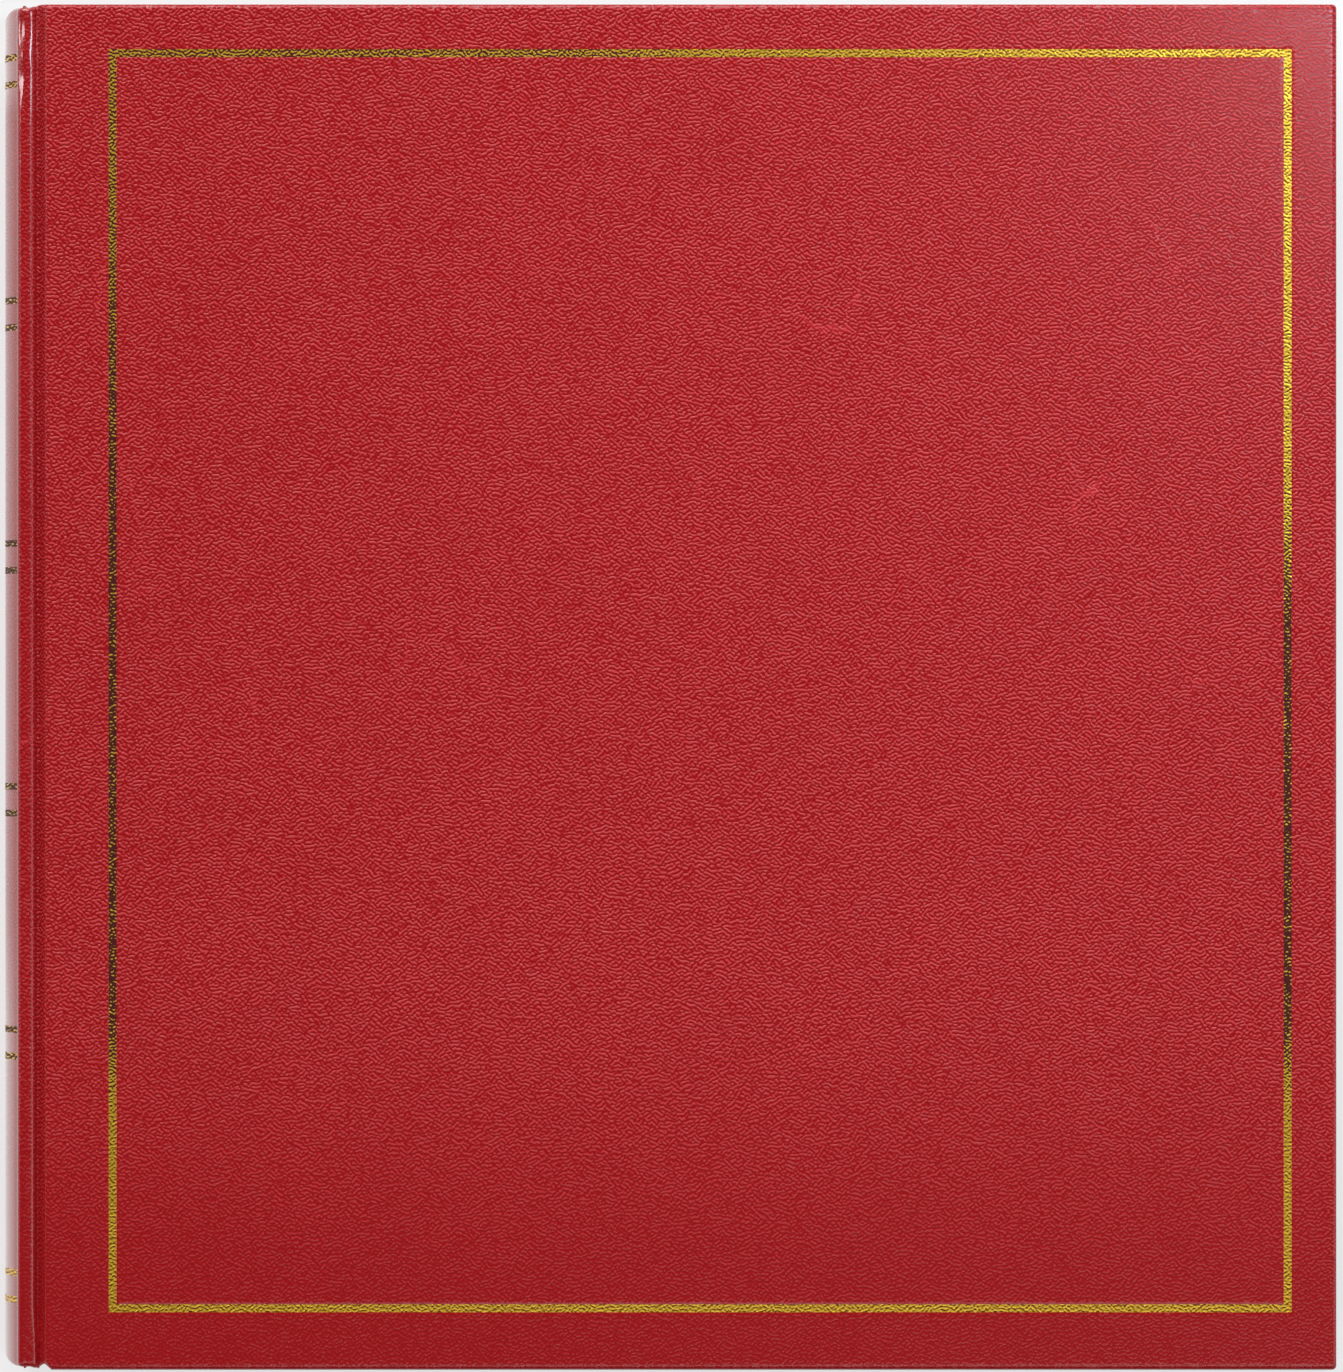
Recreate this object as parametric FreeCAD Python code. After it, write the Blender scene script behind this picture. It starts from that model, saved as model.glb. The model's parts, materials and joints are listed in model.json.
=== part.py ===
import FreeCAD, Part
import math
import os

# A case-bound stamp album that lies on its back cover with the spine along -X.
# +Z points up out of the front cover and +Y points to the head of the album.
# Sizes are in millimetres.

# Overall size
album_width = 303.0          # outermost point of the round spine to the fore-edge
album_height = 310.0         # head to tail, over the covers

# Case
board_thickness = 2.5
leatherette = 0.5            # thickness of the covering
turn_in_width = 15.0         # covering folded over the inside of a board
edge_radius = 1.0            # roll of the covering over a cover's outer edges
corner_radius = 1.2          # cover corners seen from above
endpaper = 0.15
pastedown_margin = 4.0       # covering left showing round a pastedown

# Spine and joints
spine_card_thickness = 0.8
ridge_hollow = 0.3           # radius left open inside the ridge beside each joint
spine_bulge = 3.5            # how far the spine stands out past the ridges
ridge_drop = 0.35            # centre of the ridge below the hinge line
joint_depth = 2.4            # hinge line below a cover's outer face
joint_clearance = 0.55       # hinge line to the side of the ridge
groove_width = 2.25          # hinge line to the cover's edge
spine_inset = 0.7            # spine is shorter than the covers at head and tail
spine_corner_radius = 2.6    # rounded spine ends seen from above
glue_gap = 0.05

# Text block
leaf_count = 10
card_thickness = 1.2
linen_ply = 0.1
glassine = 0.1
sheet_gap = 0.45             # air between two sheets of the closed album
cover_square = 4.0           # cover edge past the leaves at head, tail and fore-edge
root_inset = 1.15            # hinge line of a cover to the hinge lines of the sheets
root_clearance = 0.15        # sheet root to the spine lining
lining_thickness = 0.8
lining_setback = 0.1         # end of the lining past the inner face of a cover
hinge_free_width = 14.0      # bare linen between the spine and the card
hinge_lap = 10.0             # linen glued on each face of the card
hem_width = 8.0              # folded binding edge of the thin sheets
interleaf_inset = 3.0        # glassine is cut back from the leaf edges

# Headbands
headband_radius = 1.2
headband_clearance = 0.3     # bead to the ends of the leaves
headband_tape = 0.4
headband_tape_width = 12.0

# Pocket strips
strip_count = 9              # on each face of a leaf
strip_film = 0.1
strip_glue = 0.1             # glue line, which is also the depth of the pocket
strip_seam = 2.0             # width of the glue lines at the foot and ends
strip_gap = 4.2              # bare card between two strips
strip_side_margin = 3.0      # bare card beside the ends of a strip
strip_foot_margin = 6.0      # bare card at the head and tail of a page

# Gold foil
foil = 0.06
foil_depth = 0.1             # how deep the foil is pressed into the covering
frame_line = 1.8
frame_from_spine = 25.2      # line centre to the outermost point of the spine
frame_from_fore_edge = 11.1
frame_from_head = 11.1
frame_from_tail = 14.0
rule_pairs = 6
rule_from_head = 14.9        # middle of the first pair of rules to the head
rule_from_tail = 18.9        # middle of the last pair to the tail
rule_spacing = 6.1           # centres of the two rules of a pair
rule_width = 1.5

# Heights, worked out from the stack
cover_thickness = 2 * leatherette + board_thickness + endpaper
leaf_thickness = card_thickness + 2 * (strip_film + strip_glue)
sheet_stack = leaf_count * leaf_thickness + (leaf_count - 1) * glassine + 2 * endpaper
sheet_gaps = 2 * leaf_count + 2
album_thickness = 2 * cover_thickness + sheet_stack + sheet_gaps * sheet_gap
middle_z = album_thickness / 2
hinge_z = album_thickness - joint_depth
groove_floor_z = hinge_z - leatherette / 2
lining_end_z = cover_thickness + lining_setback

# Places across the album
spine_card_room = spine_card_thickness + 2 * glue_gap
spine_wall = 2 * leatherette + spine_card_room
ridge_radius = spine_wall + ridge_hollow
ridge_z = hinge_z - ridge_drop
spine_x = -album_width / 2
ridge_x = spine_x + spine_bulge + ridge_radius
hinge_x = ridge_x + ridge_radius + joint_clearance
cover_edge_x = hinge_x + groove_width
board_edge_x = cover_edge_x + leatherette
fore_edge_x = album_width / 2
root_x = hinge_x + root_inset
root_radius = linen_ply
lining_face_x = root_x - root_radius - root_clearance
lining_back_x = lining_face_x - lining_thickness
card_x = root_x + hinge_free_width
leaf_edge_x = fore_edge_x - cover_square

# Half lengths from head to tail
half_height = album_height / 2
spine_half = half_height - spine_inset
leaf_half = half_height - cover_square
window_half = half_height - turn_in_width

overlap = 1.0                # how far a cutting tool stands out past what it cuts
touching = 0.001             # two places closer than this are the same place


def block(x0, x1, half_length, z0, z1):
    corner = FreeCAD.Vector(x0, -half_length, z0)
    return Part.makeBox(x1 - x0, 2 * half_length, z1 - z0, corner)


def patch(x0, x1, y0, y1, z0, z1):
    return Part.makeBox(x1 - x0, y1 - y0, z1 - z0, FreeCAD.Vector(x0, y0, z0))


def point(x, z):
    return FreeCAD.Vector(x, 0, z)


def line(start, end):
    return Part.LineSegment(start, end).toShape()


def arc(start, through, end):
    return Part.Arc(start, through, end).toShape()


def path(points):
    return [line(a, b) for a, b in zip(points, points[1:])]


def slab(edges, half_length):
    # Solid of a cross-section in the XZ plane, reaching as far to both sides of Y = 0.
    face = Part.Face(Part.Wire(Part.__sortEdges__(edges)))
    face.translate(FreeCAD.Vector(0, -half_length, 0))
    return face.extrude(FreeCAD.Vector(0, 2 * half_length, 0))


def upright_edges(shape):
    return [e for e in shape.Edges if e.BoundBox.XLength + e.BoundBox.YLength < touching]


def mirrored(shape, z):
    return shape.mirror(FreeCAD.Vector(0, 0, z), FreeCAD.Vector(0, 0, 1))


def save(name, shape):
    shape.exportStep("parts/" + name + ".step")
    print(name, len(shape.Solids), round(shape.Volume, 2), shape.isValid())


# Round spine


def spine_points(depth):
    # Ends of the arcs of the spine's section, at a depth below its outer face.
    # The wide arc runs into the ridge circles without a corner.
    rise = ridge_z - middle_z
    across = ridge_x - spine_x
    wide_radius = (across ** 2 + rise ** 2 - ridge_radius ** 2) / (2 * spine_bulge)
    lean = math.atan2(rise, wide_radius - across)
    ridge = ridge_radius - depth
    upper = []
    for turn in (math.pi - lean, (math.pi - lean) / 2, 0):
        upper.append((ridge_x + ridge * math.cos(turn), rise + ridge * math.sin(turn)))
    front = [point(x, middle_z + z) for x, z in upper]
    back = [point(x, middle_z - z) for x, z in upper]
    return front, back, point(spine_x + depth, middle_z)


def spine_band(outer, inner, half_length):
    # Part of the spine's wall between two depths, ridges included.
    edges = []
    ends = []
    for depth in (outer, inner):
        front, back, waist = spine_points(depth)
        edges += [arc(*front), arc(*back), arc(front[0], waist, back[0])]
        ends.append((front[2], back[2]))
    edges += [line(a, b) for a, b in zip(*ends)]
    return slab(edges, half_length)


def rounded_spine_plan(inset):
    # The spine seen from above, with its outer corners rounded, moved in by inset.
    body = block(spine_x + inset, hinge_x, spine_half - inset, 0, album_thickness)
    corners = [e for e in upright_edges(body) if e.BoundBox.XMin < spine_x + inset + touching]
    return body.makeFillet(spine_corner_radius - inset, corners)


def make_spine_card():
    outer = leatherette + glue_gap
    band = spine_band(outer, outer + spine_card_thickness, spine_half)
    return band.common(rounded_spine_plan(outer))


def make_spine_leatherette():
    # Wraps the spine card and is turned in over its ends at head and tail.
    wrapped = spine_band(0, spine_wall, spine_half).common(rounded_spine_plan(0))
    card_slot = spine_band(leatherette, leatherette + spine_card_room, spine_half)
    card_slot = card_slot.common(rounded_spine_plan(leatherette))
    inside = spine_band(leatherette, spine_wall, window_half)
    grooves = [spine_rule(y, 0, foil_depth) for y in rule_places()]
    return wrapped.cut([card_slot, inside] + grooves)


def rule_places():
    first = -half_height + rule_from_tail
    pitch = (album_height - rule_from_head - rule_from_tail) / (rule_pairs - 1)
    pairs = [first + n * pitch for n in range(rule_pairs)]
    return [y + side * rule_spacing / 2 for y in pairs for side in (-1, 1)]


def spine_rule(y, outer, inner):
    # Band across the spine's wide arc between two depths.
    edges = []
    ends = []
    for depth in (outer, inner):
        front, back, waist = spine_points(depth)
        edges.append(arc(front[0], waist, back[0]))
        ends.append((front[0], back[0]))
    edges += [line(a, b) for a, b in zip(*ends)]
    band = slab(edges, rule_width / 2)
    band.translate(FreeCAD.Vector(0, y, 0))
    return band


def make_spine_gold_rules():
    rules = [spine_rule(y, foil_depth - foil, foil_depth) for y in rule_places()]
    return Part.makeCompound(rules)


def make_spine_lining():
    return block(lining_back_x, lining_face_x, leaf_half, lining_end_z, album_thickness - lining_end_z)


def make_headbands():
    # A bead on a strip of tape, glued to the back of the lining at head and tail.
    height = album_thickness - 2 * lining_end_z
    bead_y = leaf_half + headband_clearance + headband_radius
    tape_x = lining_back_x - headband_tape
    tape_foot = leaf_half - headband_tape_width
    tape = patch(tape_x, lining_back_x, tape_foot, bead_y, lining_end_z, lining_end_z + height)
    foot = FreeCAD.Vector(tape_x + headband_radius, bead_y, lining_end_z)
    head = tape.fuse(Part.makeCylinder(headband_radius, height, foot)).removeSplitter()
    tail = head.mirror(FreeCAD.Vector(), FreeCAD.Vector(0, 1, 0))
    return Part.makeCompound([head, tail])


# Covers, each made as the front one and mirrored for the back


def make_front_board():
    top = album_thickness - leatherette
    edge = fore_edge_x - leatherette
    board = block(board_edge_x, edge, half_height - leatherette, top - board_thickness, top)
    return board.makeFillet(corner_radius - leatherette, upright_edges(board))


def make_cover_leatherette():
    # Wraps the board and is turned in at head, tail and fore-edge. On the spine side it
    # runs down the board's edge and along the groove to a round end on the hinge line.
    base = album_thickness - 2 * leatherette - board_thickness
    wrap = block(cover_edge_x, fore_edge_x, half_height, base, album_thickness)
    wrap = wrap.makeFillet(corner_radius, upright_edges(wrap))
    rim = [e for e in wrap.Edges if e.BoundBox.ZMin > album_thickness - touching]
    wrap = wrap.makeFillet(edge_radius, rim)
    reach_x = cover_edge_x - overlap
    window = block(reach_x, fore_edge_x - turn_in_width, window_half, base - overlap, base + leatherette)
    below_groove = block(reach_x, board_edge_x, half_height + overlap, base - overlap, groove_floor_z)
    wrap = wrap.cut([make_front_board(), window, below_groove])
    return wrap.fuse(make_groove_floor()).removeSplitter()


def make_groove_floor():
    half = leatherette / 2
    high = [point(hinge_x, hinge_z + half), point(cover_edge_x, hinge_z + half)]
    low = [point(cover_edge_x, hinge_z - half), point(hinge_x, hinge_z - half)]
    bead = arc(low[1], point(hinge_x - half, hinge_z), high[0])
    return slab(path(high + low) + [bead], spine_half)


def make_front_leatherette():
    groove = frame_ring(album_thickness - foil_depth, album_thickness + overlap)
    return make_cover_leatherette().cut(groove)


def frame_ring(low, high):
    # Ring of the gold frame between two heights.
    half = frame_line / 2
    left = spine_x + frame_from_spine
    right = fore_edge_x - frame_from_fore_edge
    tail = -half_height + frame_from_tail
    head = half_height - frame_from_head
    outside = patch(left - half, right + half, tail - half, head + half, low, high)
    inside = patch(left + half, right - half, tail + half, head - half, low, high)
    return outside.cut(inside)


def make_gold_frame():
    low = album_thickness - foil_depth
    return frame_ring(low, low + foil)


def make_front_pastedown():
    # Fills the window between the turn-ins and laps over them.
    low = album_thickness - cover_thickness
    lap_edge = fore_edge_x - pastedown_margin
    lap = block(board_edge_x, lap_edge, half_height - pastedown_margin, low, low + endpaper)
    fill_edge = fore_edge_x - turn_in_width
    fill = block(board_edge_x, fill_edge, window_half, low, low + endpaper + leatherette)
    return lap.fuse(fill).removeSplitter()


# Sheets of the text block


def sheet_list():
    # Kind, number and middle height of every sheet, from the back cover to the front.
    sheets = [("back_flyleaf", 0, endpaper)]
    for number in range(leaf_count, 0, -1):
        sheets.append(("leaf", number, leaf_thickness))
        sheets.append(("interleaf", number - 1, glassine))
    sheets[-1] = ("front_flyleaf", 0, endpaper)
    placed = []
    z = cover_thickness
    for kind, number, thickness in sheets:
        z += sheet_gap
        placed.append((kind, number, z + thickness / 2))
        z += thickness
    return placed


def sheet_slab(upper, z, half_length):
    # Sheet with a round root on its hinge line, from the upper half of its section.
    upper = [(root_x, root_radius)] + upper
    lower = [(x, -rise) for x, rise in reversed(upper)]
    corners = [point(x, z + rise) for x, rise in upper + lower]
    root = arc(corners[-1], point(root_x - root_radius, z), corners[0])
    return slab(path(corners) + [root], half_length)


def make_thin_sheet(z, thickness, inset):
    hem_x = root_x + hem_width
    half = thickness / 2
    upper = [(hem_x, root_radius), (hem_x, half), (leaf_edge_x - inset, half)]
    return sheet_slab(upper, z, leaf_half - inset)


def make_leaf_card(z):
    half = card_thickness / 2
    return block(card_x, leaf_edge_x, leaf_half, z - half, z + half)


def make_linen_hinge(z):
    # Two plies out of the spine that part to take the edge of the card between them.
    half = card_thickness / 2
    wall_x = card_x - linen_ply
    lap_x = card_x + hinge_lap
    upper = [(wall_x, root_radius), (wall_x, half + linen_ply), (lap_x, half + linen_ply)]
    upper += [(lap_x, half), (card_x, half)]
    return sheet_slab(upper, z, leaf_half)


def make_pocket_strips(z):
    # Clear strips glued along the foot and both ends, and open towards the head.
    page_foot = -leaf_half + strip_foot_margin
    pitch = (strip_gap - 2 * page_foot) / strip_count
    left = card_x + hinge_lap + strip_side_margin
    right = leaf_edge_x - strip_side_margin
    low = z + card_thickness / 2
    strips = []
    for row in range(strip_count):
        foot = page_foot + row * pitch
        head = foot + pitch - strip_gap
        strip = patch(left, right, foot, head, low, low + strip_glue + strip_film)
        pocket = patch(
            left + strip_seam, right - strip_seam, foot + strip_seam, head + overlap,
            low - overlap, low + strip_glue,
        )
        strip = strip.cut(pocket)
        strips += [strip, mirrored(strip, z)]
    return Part.makeCompound(strips)


def main():
    os.makedirs("parts", exist_ok=True)
    print("album thickness", round(album_thickness, 3))

    save("front_board", make_front_board())
    save("back_board", mirrored(make_front_board(), middle_z))
    save("front_leatherette", make_front_leatherette())
    save("back_leatherette", mirrored(make_cover_leatherette(), middle_z))
    save("front_pastedown", make_front_pastedown())
    save("back_pastedown", mirrored(make_front_pastedown(), middle_z))
    save("gold_frame", make_gold_frame())
    save("spine_leatherette", make_spine_leatherette())
    save("spine_card", make_spine_card())
    save("spine_gold_rules", make_spine_gold_rules())
    save("spine_lining", make_spine_lining())
    save("headbands", make_headbands())

    for kind, number, z in sheet_list():
        if kind == "leaf":
            save(f"leaf_card_{number:02d}", make_leaf_card(z))
            save(f"linen_hinge_{number:02d}", make_linen_hinge(z))
            save(f"pocket_strips_{number:02d}", make_pocket_strips(z))
        elif kind == "interleaf":
            save(f"interleaf_{number:02d}", make_thin_sheet(z, glassine, interleaf_inset))
        else:
            save(kind, make_thin_sheet(z, endpaper, 0))


main()
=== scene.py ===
import json
import math

import bmesh
import bpy
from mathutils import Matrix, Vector, noise


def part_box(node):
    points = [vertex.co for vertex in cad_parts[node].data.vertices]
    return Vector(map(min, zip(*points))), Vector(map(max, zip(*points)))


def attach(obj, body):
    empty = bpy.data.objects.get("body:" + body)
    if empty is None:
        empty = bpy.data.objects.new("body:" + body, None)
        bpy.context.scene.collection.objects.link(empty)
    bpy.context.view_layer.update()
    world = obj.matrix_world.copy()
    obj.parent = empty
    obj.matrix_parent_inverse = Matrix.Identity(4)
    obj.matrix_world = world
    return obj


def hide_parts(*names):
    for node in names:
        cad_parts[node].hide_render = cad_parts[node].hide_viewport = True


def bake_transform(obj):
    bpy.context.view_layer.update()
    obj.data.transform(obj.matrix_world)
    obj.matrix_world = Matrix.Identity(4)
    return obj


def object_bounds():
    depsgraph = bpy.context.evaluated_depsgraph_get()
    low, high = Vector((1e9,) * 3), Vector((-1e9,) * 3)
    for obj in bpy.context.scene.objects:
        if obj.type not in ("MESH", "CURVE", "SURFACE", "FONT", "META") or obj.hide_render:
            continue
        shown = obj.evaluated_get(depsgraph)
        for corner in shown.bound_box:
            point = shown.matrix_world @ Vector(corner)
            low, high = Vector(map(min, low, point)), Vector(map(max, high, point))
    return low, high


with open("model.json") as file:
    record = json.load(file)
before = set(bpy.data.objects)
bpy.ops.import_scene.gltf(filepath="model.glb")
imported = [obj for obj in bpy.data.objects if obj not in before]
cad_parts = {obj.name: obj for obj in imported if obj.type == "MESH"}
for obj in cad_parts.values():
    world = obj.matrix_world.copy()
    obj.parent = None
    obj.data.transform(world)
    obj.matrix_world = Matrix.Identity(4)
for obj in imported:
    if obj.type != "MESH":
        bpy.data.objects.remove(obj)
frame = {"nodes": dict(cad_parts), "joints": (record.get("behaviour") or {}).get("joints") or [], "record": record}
cadLow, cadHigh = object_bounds()
print("frame loaded:", len(frame["nodes"]), "nodes")

mm = 0.001
scene = bpy.context.scene
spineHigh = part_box("spine_leatherette")[1]
foilLow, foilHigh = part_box("gold_frame")
hingeX = next(Vector(j["pos_m"]).x for j in frame["joints"] if j["name"] == "front_cover_hinge")
top = cadHigh.z                          # outer face of the front cover
middle = top / 2
foreEdge = cadHigh.x
spineOut = cadLow.x
coverHalf = cadHigh.y
smoothAngle = math.radians(40)           # edges up to this are shaded smooth
wallAngle = math.radians(50)             # the same on sheets with a wall


def clamp01(value):
    return min(1.0, max(0.0, value))


def ease(low, high, value):              # 0 before low, 1 after high, smooth between
    t = clamp01((value - low) / (high - low))
    return t * t * (3 - 2 * t)


def bump(centre, reach, value):          # 1 at the centre, 0 past its reach
    return ease(0, 1, 1 - abs(value - centre) / reach)


def zoneFrom(origin, zone):              # a zone that is given from some line of the album
    return origin + zone[0], origin + zone[1]


class Wire:                              # one socket of a node tree, with arithmetic
    def __init__(self, tree, socket=None):
        self.tree = tree
        self.socket = socket

    def node(self, kind, settings=None, inputs=None, output=0):
        made = self.tree.nodes.new(kind)
        for name, value in (settings or {}).items():
            setattr(made, name, value)
        for name, value in (inputs or {}).items():
            if isinstance(value, Wire):
                self.tree.links.new(value.socket, made.inputs[name])
            else:
                made.inputs[name].default_value = value
        return Wire(self.tree, made.outputs[output] if made.outputs else None)

    def maths(self, operation, *values):
        return self.node("ShaderNodeMath", {"operation": operation}, dict(enumerate(values)))

    def __add__(self, other):
        return self.maths("ADD", self, other)

    def __sub__(self, other):
        return self.maths("SUBTRACT", self, other)

    def __rsub__(self, other):
        return self.maths("SUBTRACT", other, self)

    def __mul__(self, other):
        return self.maths("MULTIPLY", self, other)

    def __truediv__(self, other):
        return self.maths("DIVIDE", self, other)

    __radd__ = __add__
    __rmul__ = __mul__


def startMaterial(name):
    material = bpy.data.materials.new(name)
    material.use_nodes = True
    material.node_tree.nodes.clear()
    return material, Wire(material.node_tree)


def endMaterial(wire, settings):
    shader = wire.node("ShaderNodeBsdfPrincipled", inputs=settings)
    wire.node("ShaderNodeOutputMaterial", inputs={"Surface": shader})


def easeWire(wire, low, high, value):    # smooth step as one node
    settings = {"interpolation_type": "SMOOTHSTEP"}
    return wire.node("ShaderNodeMapRange", settings, {"Value": value, "From Min": low, "From Max": high})


def varied(levels, share):               # the least, and what a full share adds
    return levels[0] + levels[1] * share


def mixColours(wire, share, first, second):
    return wire.node("ShaderNodeMix", {"data_type": "RGBA"}, {0: share, 6: first, 7: second}, 2)


def objectPlace(wire):
    return wire.node("ShaderNodeTexCoord", output=3)


def axisOf(wire, place, axis):
    return wire.node("ShaderNodeSeparateXYZ", inputs={"Vector": place}, output="XYZ".index(axis))


def stretched(wire, place, x, y, z=1.0):
    return wire.node("ShaderNodeMapping", inputs={"Vector": place, "Scale": (x, y, z)})


def cloud(wire, place, scale, detail=2.0, rough=0.5):
    inputs = {"Vector": place, "Scale": scale, "Detail": detail, "Roughness": rough}
    return wire.node("ShaderNodeTexNoise", inputs=inputs)


def bumpFrom(wire, height, distance):
    return wire.node("ShaderNodeBump", inputs={"Height": height, "Distance": distance, "Strength": 1.0})


# Grain of the leatherette: short worm-like ridges, mostly lying across the album

grain = {
    "pitch": 0.90 * mm,                  # from ridge to ridge
    "waves": 1.6,                        # ridges that keep in step
    "lie": 0.42,                         # 1 is straight across the album, 0 is any way
    "flank": (0.45, 0.66),               # part of the pattern's height where a ridge rises
    "valley": (0.31, 0.0060, 0.0080, 1.0),
    # painted highlight: the ridges are coloured lighter and pinker than the valleys, a painted sheen on their tops
    "ridge": (0.62, 0.036, 0.042, 1.0),
    "patches": 45.0,                     # of weaker and stronger ridges
    "patchTone": (0.75, 0.5),
    "depth": 0.07 * mm,
    "roughness": (0.20, 0.22),           # in the valleys, and what the ridges add
    "refraction": 1.42,
}
veins = {                                # sparse long creases down the cover
    "scale": 30.0,
    "stretch": 0.38,
    "bendScale": 90.0,
    "bendReach": 12 * mm,
    "bendDetail": 3.0,
    "width": 0.010,
    "patches": 38.0,                     # they show only in some patches
    "patchEdge": (0.50, 0.66),
    "fade": (-0.09, 0.0),                # and not towards the tail
    "tone": 0.45,
    "relief": 0.5,
}
wearAndShade = {                                 # places up and down the album are from its middle
    "tailGrainAndShade": (0.20, 0.80),           # the grain fades towards the tail, which also paints the cover darker there as painted shade
    "tailFade": (-0.165, -0.060),
    "spineEdge": (-0.8 * mm, -0.2 * mm),  # from the hinge line
    "spineLoss": 0.45,                   # of the grain, on the smooth spine
    "headShine": (0.126, 0.138),
    "backEdge": (2.0 * mm, 4.5 * mm),    # from the spine's outermost line
    "backFade": (-0.085, -0.045),
    "backLoss": 0.7,                     # of the shine that hands gave it, above the tail
    "shineRoughness": 0.15,
}


def bent(wire, place, scale, reach, detail):          # places pushed about by a cloud
    push = wire.node("ShaderNodeTexNoise", {"noise_dimensions": "2D"}, {
        "Vector": place, "Scale": scale, "Detail": detail,
    }, 1)
    return wire.node("ShaderNodeVectorMath", {"operation": "MULTIPLY_ADD"}, {
        0: push, 1: (reach, reach, 0.0), 2: place,
    })


def grainHeight(wire, place, pitch):
    return wire.node("ShaderNodeTexGabor", {"gabor_type": "2D"}, {
        "Vector": place, "Scale": 1 / (pitch * grain["waves"]), "Frequency": grain["waves"],
        "Anisotropy": grain["lie"], "Orientation 2D": math.pi / 2,
    })


def veinLines(wire, place):
    wavy = bent(wire, place, veins["bendScale"], veins["bendReach"], veins["bendDetail"])
    cells = wire.node("ShaderNodeTexVoronoi", {"voronoi_dimensions": "2D", "feature": "DISTANCE_TO_EDGE"}, {
        "Vector": stretched(wire, wavy, 1.0, veins["stretch"]), "Scale": veins["scale"],
    })
    line = 1 - easeWire(wire, 0.0, veins["width"], cells)
    return line * easeWire(wire, *veins["patchEdge"], cloud(wire, place, veins["patches"]))


def makeLeatherette():
    material, wire = startMaterial("grained leatherette")
    place = wire.node("ShaderNodeAttribute", {"attribute_name": "grain"}, output=1)
    spot = objectPlace(wire)
    x = axisOf(wire, spot, "X")
    y = axisOf(wire, spot, "Y")
    onSpine = 1 - easeWire(wire, *zoneFrom(hingeX, wearAndShade["spineEdge"]), x)
    onBack = 1 - easeWire(wire, *zoneFrom(spineOut, wearAndShade["backEdge"]), x)
    # painted shade: fewer of the lighter ridges towards the tail make the cover darker there; on the spine the
    # grain is smoother
    grainAndTailShade = varied(wearAndShade["tailGrainAndShade"], easeWire(wire, *wearAndShade["tailFade"], y))
    grainAndTailShade = grainAndTailShade * (1 - onSpine * wearAndShade["spineLoss"])
    ridges = easeWire(wire, *grain["flank"], grainHeight(wire, place, grain["pitch"])) * grainAndTailShade
    lines = veinLines(wire, place) * easeWire(wire, *veins["fade"], y)
    mottled = varied(grain["patchTone"], cloud(wire, place, grain["patches"], detail=3.0))
    # painted highlight: share of the ridge colour, which carries the painted sheen
    share = wire.maths("MINIMUM", ridges * mottled + lines * veins["tone"], 1.0)
    headShine = onSpine * easeWire(wire, *wearAndShade["headShine"], y)
    backShine = onBack * (1 - wearAndShade["backLoss"] * easeWire(wire, *wearAndShade["backFade"], y))
    endMaterial(wire, {
        "Base Color": mixColours(wire, share, grain["valley"], grain["ridge"]),
        "Roughness": varied(grain["roughness"], ridges),
        "Normal": bumpFrom(wire, ridges + lines * veins["relief"], grain["depth"]),
        "Coat Weight": wire.maths("MAXIMUM", headShine, backShine),
        "Coat Roughness": wearAndShade["shineRoughness"],
        "IOR": grain["refraction"],
    })
    return material


# Gold foil, pressed over the grain, with painted shade darkening it along the sides

foil = {
    "colour": (0.84, 0.50, 0.046, 1.0),
    "shade": (0.20, 0.075, 0.008, 1.0),
    # painted shade: the near-black colour of the foil's gaps
    "bare": (0.060, 0.005, 0.003, 1.0),
    "pitch": 0.8 * mm,
    "bright": (0.36, 0.58),              # heights of the grain where the painted shade of its hollows turns into full colour
    "crumbs": 2200.0,
    "crumbShare": 0.2,                   # in where the foil has gaps
    "crumbRelief": 0.3,
    "gapBelow": (0.26, 0.30),           # grain height below which the foil has gaps, and what the painted side shade adds
    "gapEdge": 0.10,
    "depth": 0.12 * mm,
    "metal": 0.6,
    "roughness": (0.34, 0.25),           # of the gold, and what is added in its gaps
    "refraction": 1.3,
}
paintedSideShade = {                               # where the frame is painted dark as shade, from the album's middle
    "left": (-0.124, -0.118),
    "leftFade": (0.05, 0.12),
    "leftLoss": 0.28,
    "right": (0.132, 0.138),
    "rightFade": (0.01, 0.07),
    "head": (0.138, 0.142),
    "headFade": (-0.03, 0.06),
    "headShare": 0.72,
    "foot": (-0.115, -0.070),            # the sides get no painted shade below this
}


def sideShadeShare(wire, spot):             # painted shade: most along the two sides, least at the foot
    x = axisOf(wire, spot, "X")
    y = axisOf(wire, spot, "Y")
    aboveFoot = easeWire(wire, *paintedSideShade["foot"], y)
    left = (1 - easeWire(wire, *paintedSideShade["left"], x)) * aboveFoot
    left = left * (1 - paintedSideShade["leftLoss"] * easeWire(wire, *paintedSideShade["leftFade"], y))
    right = easeWire(wire, *paintedSideShade["right"], x) * aboveFoot
    right = right * (1 - easeWire(wire, *paintedSideShade["rightFade"], y))
    head = easeWire(wire, *paintedSideShade["head"], y) * (1 - easeWire(wire, *paintedSideShade["headFade"], x))
    return wire.maths("MAXIMUM", wire.maths("MAXIMUM", left, head * paintedSideShade["headShare"]), right)


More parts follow.
